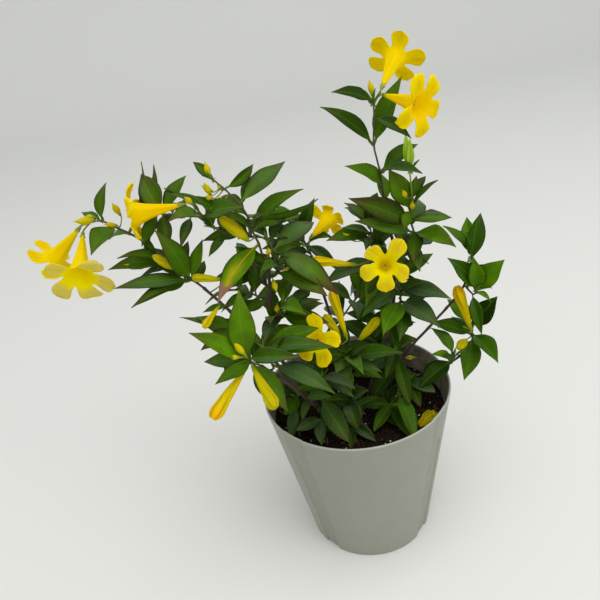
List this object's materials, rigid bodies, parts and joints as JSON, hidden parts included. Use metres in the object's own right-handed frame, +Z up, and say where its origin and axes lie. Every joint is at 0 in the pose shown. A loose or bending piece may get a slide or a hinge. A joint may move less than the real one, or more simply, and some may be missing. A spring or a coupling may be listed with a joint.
{
  "type": "potted carolina jasmine",
  "caption": "Evergreen climber with glossy lance-shaped leaves and yellow trumpet flowers, planted in a tapered plastic pot with sunk side channels.",
  "frame": {"origin": "centre of the pot's underside", "axes": "+Z up out of the pot, -Y towards the viewer, +X to the viewer's right; the long branch reaches towards -X"},
  "size_m": [0.2579, 0.1399, 0.3175],
  "materials": {
    "plastic": "satin, warm grey",
    "soil": "loose, near black",
    "bark": "smooth, dark reddish brown",
    "leaf": "glossy, dark green",
    "petal": "soft, bright yellow",
    "bud": "soft, yellow with a green foot"
  },
  "bodies": {
    "root": {"back_left_spray": "leaf", "back_low_spray": "leaf", "back_right_spray": "leaf", "back_top_spray": "leaf", "bud_back_trumpet": "bud", "bud_front_left": "bud", "bud_front_right": "bud", "bud_left_crown": "bud", "bud_left_low": "bud", "bud_left_middle": "bud", "bud_left_under": "bud", "bud_middle_right": "bud", "bud_middle_short": "bud", "bud_middle_tall": "bud", "bud_right_large": "bud", "bud_right_small": "bud", "crown_spray": "leaf", "fallen_petal": "petal", "flower_back": "petal", "flower_centre": "petal", "flower_hidden": "petal", "flower_left": "petal", "flower_left_hanging": "petal", "flower_left_trumpet": "petal", "flower_top": "petal", "flower_top_side": "petal", "front_rosette": "leaf", "front_side_spray": "leaf", "heart_spray": "leaf", "inner_right_spray": "leaf", "left_arm_spray": "leaf", "left_bud_spray": "leaf", "left_crown_spray": "leaf", "left_fold_spray": "leaf", "left_heart_spray": "leaf", "left_low_spray": "leaf", "left_mid_spray": "leaf", "left_tip_spray": "leaf", "left_under_spray": "leaf", "low_front_spray": "leaf", "low_left_spray": "leaf", "low_middle_spray": "leaf", "low_right_spray": "leaf", "low_side_spray": "leaf", "middle_spray": "leaf", "pot": "plastic", "right_low_spray": "leaf", "right_mid_spray": "leaf", "right_top_spray": "leaf", "rim_spray": "leaf", "soil": "soil", "stem_back": "bark", "stem_centre": "bark", "stem_front": "bark", "stem_left": "bark", "stem_low_left": "bark", "stem_middle": "bark", "stem_right": "bark", "stem_rim": "bark", "top_spray": "leaf"}
  },
  "joints": []
}
